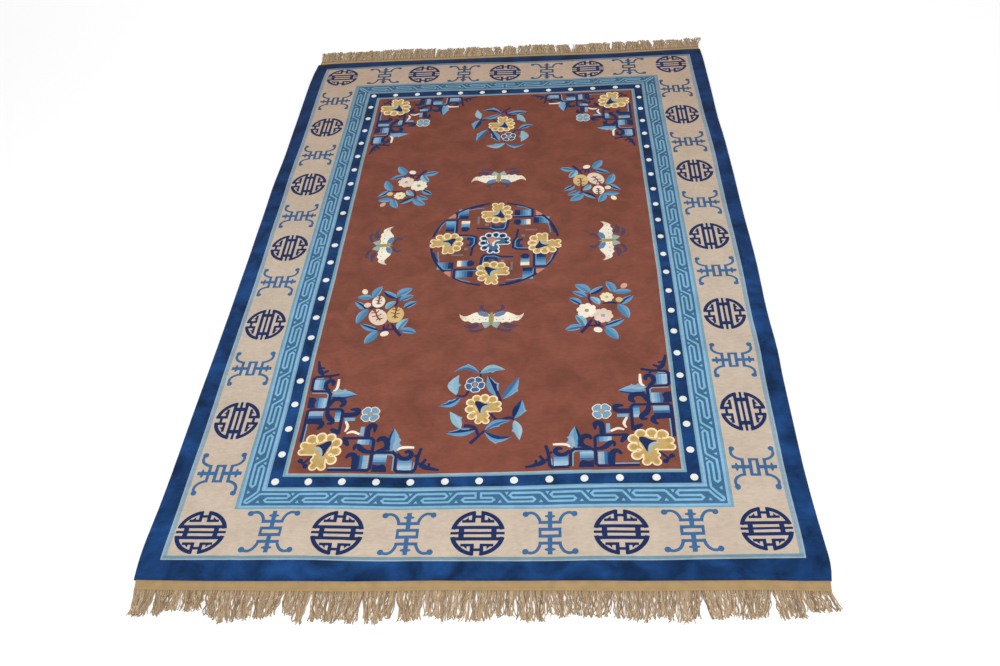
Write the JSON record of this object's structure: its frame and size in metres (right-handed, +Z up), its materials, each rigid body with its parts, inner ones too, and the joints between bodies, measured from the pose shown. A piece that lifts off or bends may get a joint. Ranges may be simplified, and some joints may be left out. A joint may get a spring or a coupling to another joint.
{
  "type": "chinese rug",
  "caption": "Flat rectangular wool pile rug with a woven web and knotted warp fringe along both short ends.",
  "frame": {"origin": "middle of the flat underside, on the floor", "axes": "+X across the rug, +Y along it from the near end to the far end, +Z up out of the pile"},
  "size_m": [1.8576, 2.965, 0.01],
  "materials": {
    "wool_pile": "matt cut pile",
    "cotton_fringe": "matt woven web and twisted yarn"
  },
  "bodies": {
    "root": {"pile_carpet": "wool_pile", "fringe_near": "cotton_fringe", "fringe_far": "cotton_fringe"}
  },
  "joints": []
}
